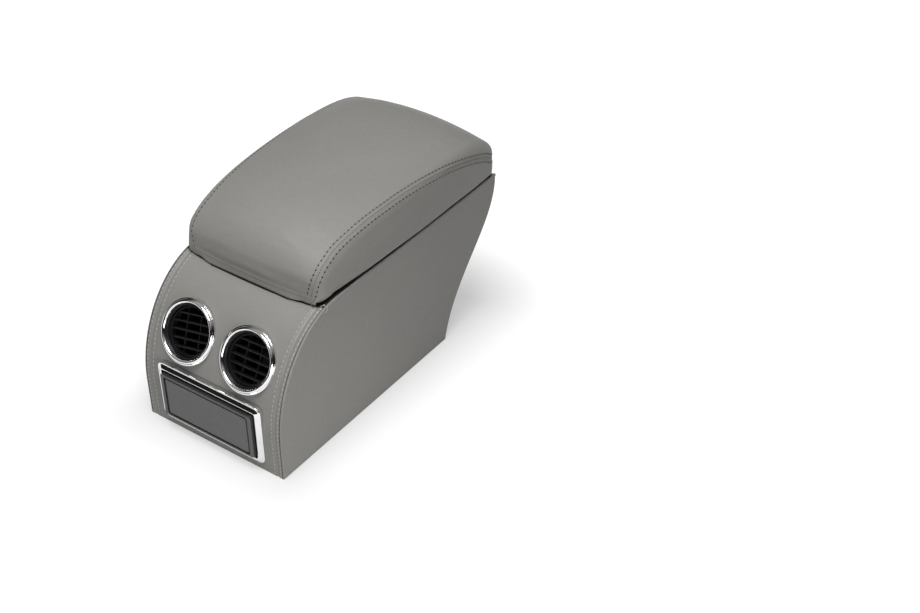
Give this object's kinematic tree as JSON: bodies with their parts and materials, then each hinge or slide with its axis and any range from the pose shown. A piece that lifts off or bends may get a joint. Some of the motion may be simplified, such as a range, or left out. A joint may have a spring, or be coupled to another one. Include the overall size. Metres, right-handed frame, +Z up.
{
  "type": "car centre armrest",
  "caption": "Grey leatherette car armrest box with a padded hinged lid, chrome-ringed rear air vents and a chrome-framed pull-out tray",
  "frame": {"origin": "Middle of the overall box at floor level, on the underside of the floor panel", "axes": "+X across to the right seen from the vent end, +Y from the vent end to the far end, +Z up"},
  "size_m": [0.207, 0.42, 0.262],
  "materials": {
    "leatherette": "Grey leatherette with a fine grain and a satin sheen",
    "board": "Plain plywood",
    "chrome": "Bright chrome plate",
    "black_plastic": "Black moulded plastic, matte",
    "charcoal_plastic": "Charcoal moulded plastic, fine matte texture",
    "lining": "Black felt lining",
    "hinge_black": "Black painted steel",
    "steel": "Bright steel"
  },
  "bodies": {
    "box": {"floor_panel": "board", "bulkhead": "board", "nose_panel": "board", "far_panel": "board", "side_panel_left": "board", "side_panel_right": "board", "nose_cover": "leatherette", "far_cover": "leatherette", "side_cover_left": "leatherette", "side_cover_right": "leatherette", "tray_bezel": "chrome", "vent_ring_left": "chrome", "vent_ring_right": "chrome", "tray_housing": "black_plastic", "hinge_box_leaf": "hinge_black", "hinge_pin": "steel", "hinge_box_screws": "hinge_black", "vent_housing_left": "black_plastic", "vent_housing_right": "black_plastic"},
    "lid": {"lid_cushion": "leatherette", "lid_board": "board", "lid_lining": "lining", "hinge_lid_leaf": "hinge_black", "hinge_lid_screws": "hinge_black"},
    "tray": {"tray_drawer": "black_plastic", "tray_face": "charcoal_plastic", "tray_inlay": "charcoal_plastic"},
    "rotor_left": {"vent_rotor_left": "black_plastic"},
    "rotor_right": {"vent_rotor_right": "black_plastic"},
    "louvre_left": {"vent_louvre_left": "black_plastic"},
    "louvre_right": {"vent_louvre_right": "black_plastic"}
  },
  "joints": [
    {"name": "lid_hinge", "type": "hinge", "parent": "box", "child": "lid", "pos_m": [0, -0.1205, 0.183], "axis": [1, 0, 0], "range_deg": [0, 100]},
    {"name": "tray_slide", "type": "slide", "parent": "box", "child": "tray", "axis": [0, -1, 0], "range_m": [0, 0.0335]},
    {"name": "vent_turn_left", "type": "hinge", "parent": "box", "child": "rotor_left", "pos_m": [-0.043, -0.17341, 0.124], "axis": [0, -0.8659, 0.5002], "continuous": true},
    {"name": "vent_tilt_left", "type": "hinge", "parent": "rotor_left", "child": "louvre_left", "pos_m": [-0.043, -0.17341, 0.124], "axis": [0.9848, 0.0869, 0.1504], "range_deg": [-22, 22]},
    {"name": "vent_turn_right", "type": "hinge", "parent": "box", "child": "rotor_right", "pos_m": [0.043, -0.17341, 0.124], "axis": [0, -0.8659, 0.5002], "continuous": true},
    {"name": "vent_tilt_right", "type": "hinge", "parent": "rotor_right", "child": "louvre_right", "pos_m": [0.043, -0.17341, 0.124], "axis": [0.9994, 0.0175, 0.0302], "range_deg": [-22, 22]}
  ]
}
